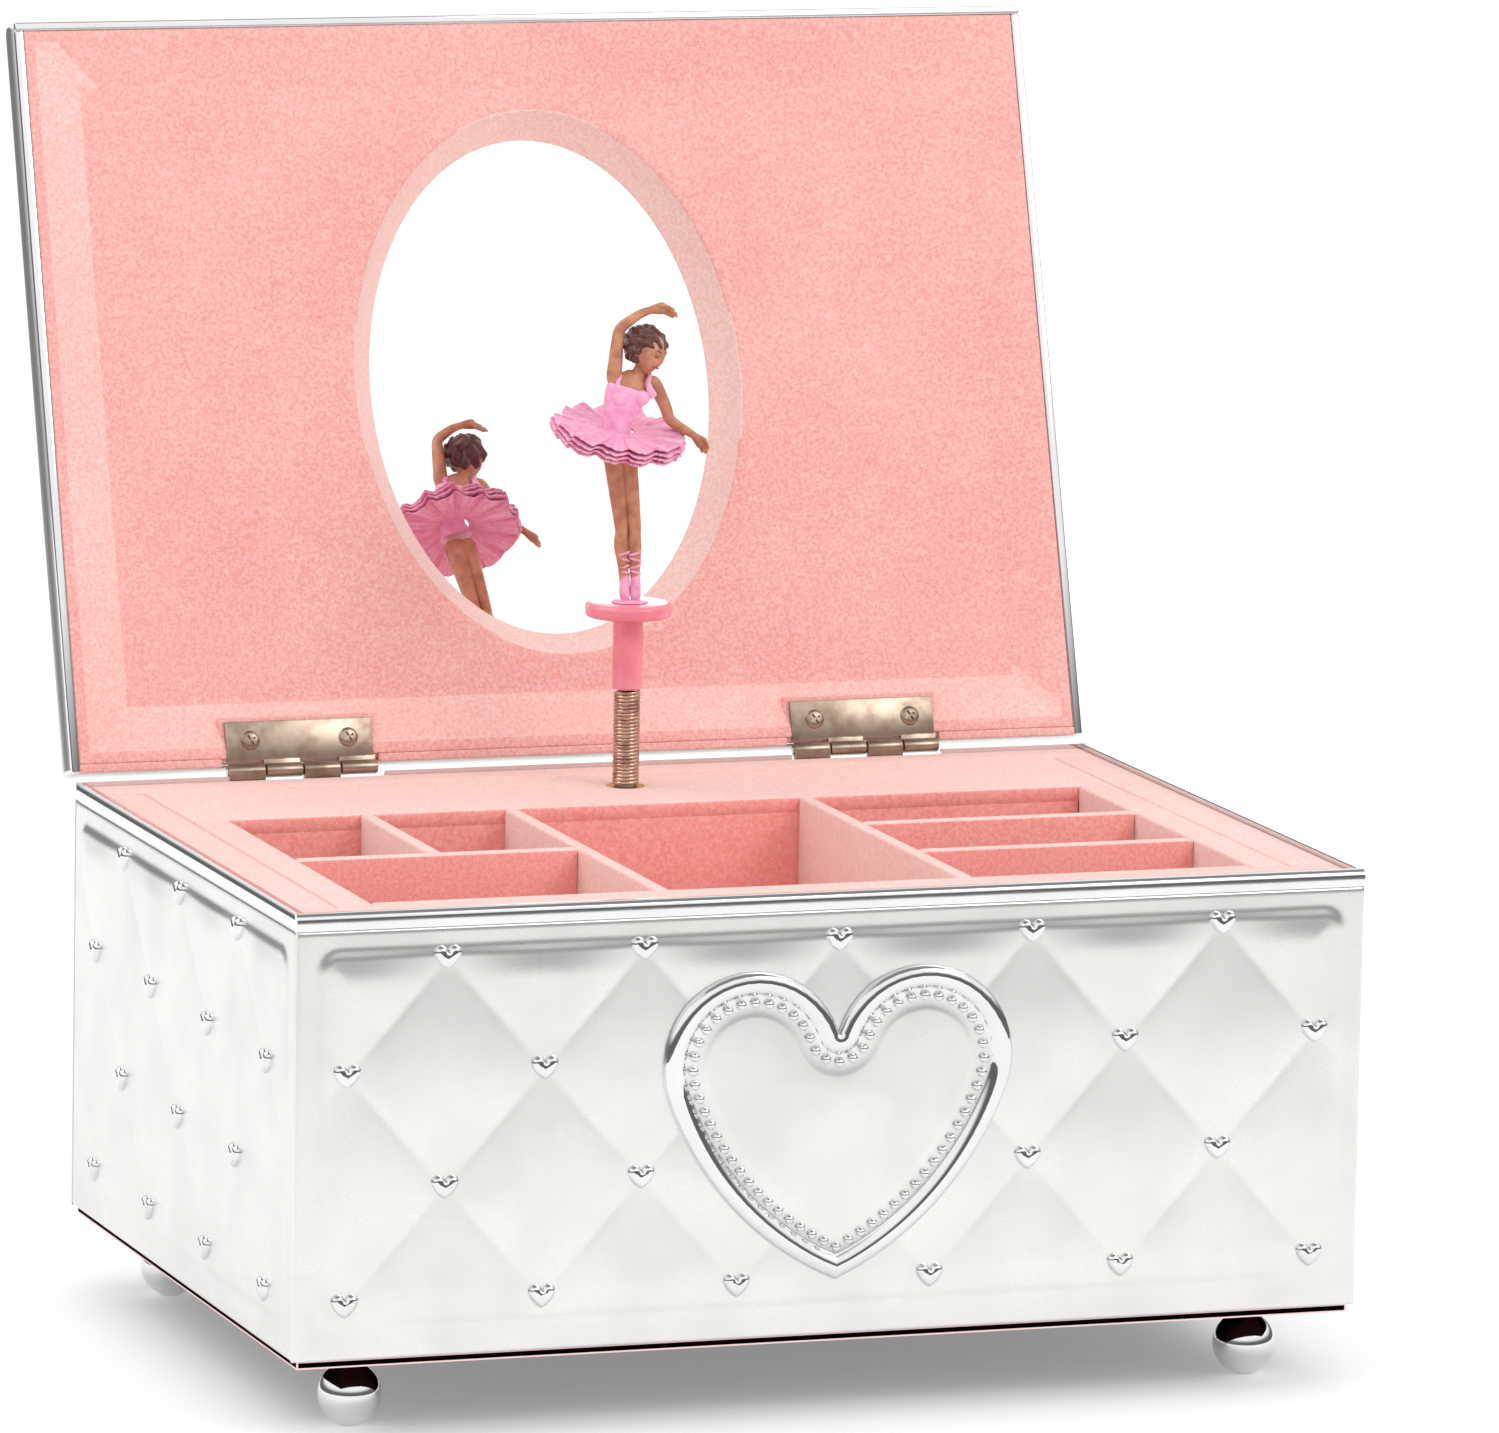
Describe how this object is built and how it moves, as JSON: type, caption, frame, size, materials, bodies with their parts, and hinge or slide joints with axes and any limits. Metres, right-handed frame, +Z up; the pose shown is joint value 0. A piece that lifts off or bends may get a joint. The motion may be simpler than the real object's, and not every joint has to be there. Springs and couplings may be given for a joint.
{
  "type": "musical jewellery box",
  "caption": "Quilted silver-plated jewellery box on ball feet, with a hinged mirror lid, a divided pink tray and a turning dancer over a wind-up musical movement.",
  "frame": {"origin": "on the table, below the middle of the outline of the box with its lid open", "axes": "+X to the right seen from the front, +Y to the back where the hinges are, +Z up"},
  "size_m": [0.1812, 0.1778, 0.2057],
  "materials": {
    "silver_plate": "satin silver plate, polished along the edges",
    "pink_flock_board": "board covered in pink flocking",
    "pink_felt": "pressed felt",
    "steel_screw": "bright steel",
    "hinge_plate": "warm nickel plate",
    "mirror_glass": "silvered glass",
    "backing_board": "plain card",
    "brass": "turned brass",
    "zinc_plate": "cast plate",
    "spring_steel": "hardened steel",
    "pink_plastic": "glossy pink",
    "figure_plastic": "painted figure",
    "tulle": "layered tulle"
  },
  "bodies": {
    "case": {"wall_front": "pink_flock_board", "wall_back": "pink_flock_board", "wall_left": "pink_flock_board", "wall_right": "pink_flock_board", "skin_front": "silver_plate", "skin_back": "silver_plate", "skin_left": "silver_plate", "skin_right": "silver_plate", "rim_front": "silver_plate", "rim_back": "silver_plate", "rim_left": "silver_plate", "rim_right": "silver_plate", "base_board": "pink_flock_board", "base_felt": "pink_felt", "ball_feet": "silver_plate", "foot_screws": "steel_screw", "ledge_board": "pink_flock_board", "spindle_bush": "brass", "tray_floor": "pink_flock_board", "tray_side_left": "pink_flock_board", "tray_side_right": "pink_flock_board", "tray_front": "pink_flock_board", "tray_bulkhead": "pink_flock_board", "divider_left": "pink_flock_board", "divider_right": "pink_flock_board", "divider_left_cross": "pink_flock_board", "divider_left_short": "pink_flock_board", "dividers_right_cross": "pink_flock_board", "hinge_body_leaves": "hinge_plate", "hinge_pins": "steel_screw", "hinge_body_screws": "steel_screw", "movement_bedplate": "zinc_plate", "bedplate_screws": "steel_screw", "arbor_bush": "brass", "cylinder_brackets": "brass", "comb_block": "brass", "comb": "spring_steel", "comb_screws": "steel_screw", "governor_frame": "brass", "coil_spring": "spring_steel"},
    "lid": {"lid_shell": "silver_plate", "lid_trim": "silver_plate", "lid_liner": "pink_flock_board", "lid_mirror": "mirror_glass", "mirror_backing": "backing_board", "hinge_lid_leaves": "hinge_plate", "hinge_lid_screws": "steel_screw"},
    "fold": {"spring_plug": "spring_steel"},
    "dancer": {"dancer_stand": "pink_plastic", "dancer": "figure_plastic", "tutu": "tulle"},
    "drum": {"spring_drum": "brass", "drum_cover": "brass", "mainspring": "spring_steel"},
    "winding": {"winding_arbor": "spring_steel", "winding_key": "spring_steel"},
    "cylinder": {"pin_cylinder": "brass"},
    "governor": {"governor_wheel": "brass", "governor_fly": "spring_steel"}
  },
  "joints": [
    {"name": "lid_hinge", "type": "hinge", "parent": "case", "child": "lid", "pos_m": [0, 0.04043, 0.0848], "axis": [1, 0, 0], "range_deg": [0, 108]},
    {"name": "ballerina_fold", "type": "hinge", "parent": "case", "child": "fold", "pos_m": [0, 0.01963, 0.0902], "axis": [1, 0, 0], "range_deg": [0, 102], "deforming": ["coil_spring"]},
    {"name": "dancer_spin", "type": "hinge", "parent": "fold", "child": "dancer", "pos_m": [0, 0.01963, 0.1006], "axis": [0, 0, 1], "continuous": true},
    {"name": "drum_spin", "type": "hinge", "parent": "case", "child": "drum", "pos_m": [0, 0.01963, 0.02], "axis": [0, 0, 1], "continuous": true},
    {"name": "key_wind", "type": "hinge", "parent": "case", "child": "winding", "pos_m": [0, 0.01963, 0.02], "axis": [0, 0, 1], "continuous": true},
    {"name": "cylinder_spin", "type": "hinge", "parent": "case", "child": "cylinder", "pos_m": [0.02, 0.01963, 0.03205], "axis": [1, 0, 0], "continuous": true},
    {"name": "governor_spin", "type": "hinge", "parent": "case", "child": "governor", "pos_m": [0.038, 0.01163, 0.03205], "axis": [1, 0, 0], "continuous": true}
  ],
  "couplings": [
    {"joint": "ballerina_fold", "follows": "lid_hinge", "ratio": 0.9444},
    {"joint": "dancer_spin", "follows": "drum_spin", "ratio": 1},
    {"joint": "cylinder_spin", "follows": "drum_spin", "ratio": 2.125},
    {"joint": "governor_spin", "follows": "drum_spin", "ratio": -6.375}
  ]
}
